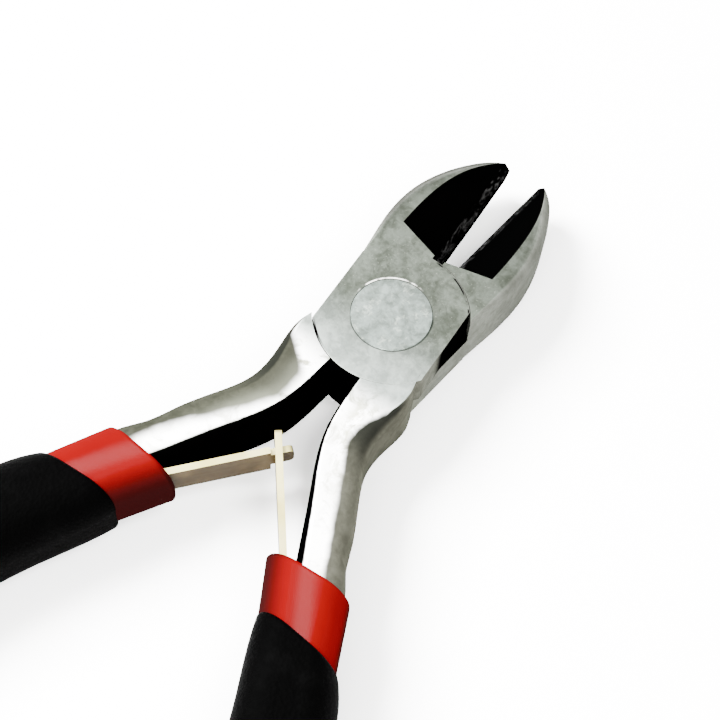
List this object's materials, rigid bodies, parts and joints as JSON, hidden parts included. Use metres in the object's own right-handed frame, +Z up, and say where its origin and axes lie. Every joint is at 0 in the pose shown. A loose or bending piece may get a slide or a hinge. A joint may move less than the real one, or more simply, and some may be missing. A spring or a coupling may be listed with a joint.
{
  "type": "diagonal cutting pliers",
  "caption": "Small spring-opened diagonal cutting pliers: lap-jointed jaws with cutting edges, crossed leaf springs, glossy collars and soft dark grips.",
  "frame": {"origin": "where the pivot axis meets the flat underside of the joint", "axes": "+X along the tool's centre line towards the jaw tips, +Y towards the left jaw, +Z up, out of the face that carries the jaw recesses"},
  "size_m": [0.1173, 0.0632, 0.0111],
  "materials": {
    "satin_steel": "satin ground steel, black oxide left in the jaw recesses and on the inner faces of the handles",
    "rivet_steel": "flush ground rivet head",
    "spring_steel": "pale straw-coloured spring strip",
    "red_sleeve": "glossy soft vinyl",
    "black_grip": "matt fine-grained foam rubber"
  },
  "bodies": {
    "lower": {"lower_half": "satin_steel", "pivot_rivet": "rivet_steel", "left_sleeve": "red_sleeve", "left_grip": "black_grip"},
    "upper": {"upper_half": "satin_steel", "right_sleeve": "red_sleeve", "right_grip": "black_grip"},
    "left_leaf": {"left_leaf_spring": "spring_steel"},
    "right_leaf": {"right_leaf_spring": "spring_steel"}
  },
  "joints": [
    {"name": "pivot", "type": "hinge", "parent": "lower", "child": "upper", "pos_m": [0, 0, 0.00425], "axis": [0, 0, 1], "range_deg": [-8.55, 6], "stiffness_Nm_per_rad": 1.5},
    {"name": "left_leaf_bend", "type": "hinge", "parent": "lower", "child": "left_leaf", "pos_m": [-0.03145, 0.00983, 0.0049], "axis": [0, 0, 1], "range_deg": [-4.5, 6.42]},
    {"name": "right_leaf_bend", "type": "hinge", "parent": "upper", "child": "right_leaf", "pos_m": [-0.03145, -0.00983, 0.0049], "axis": [0, 0, 1], "range_deg": [-6.08, 4.27]}
  ],
  "couplings": [
    {"joint": "left_leaf_bend", "follows": "pivot", "ratio": -0.75},
    {"joint": "right_leaf_bend", "follows": "pivot", "ratio": 0.71}
  ]
}
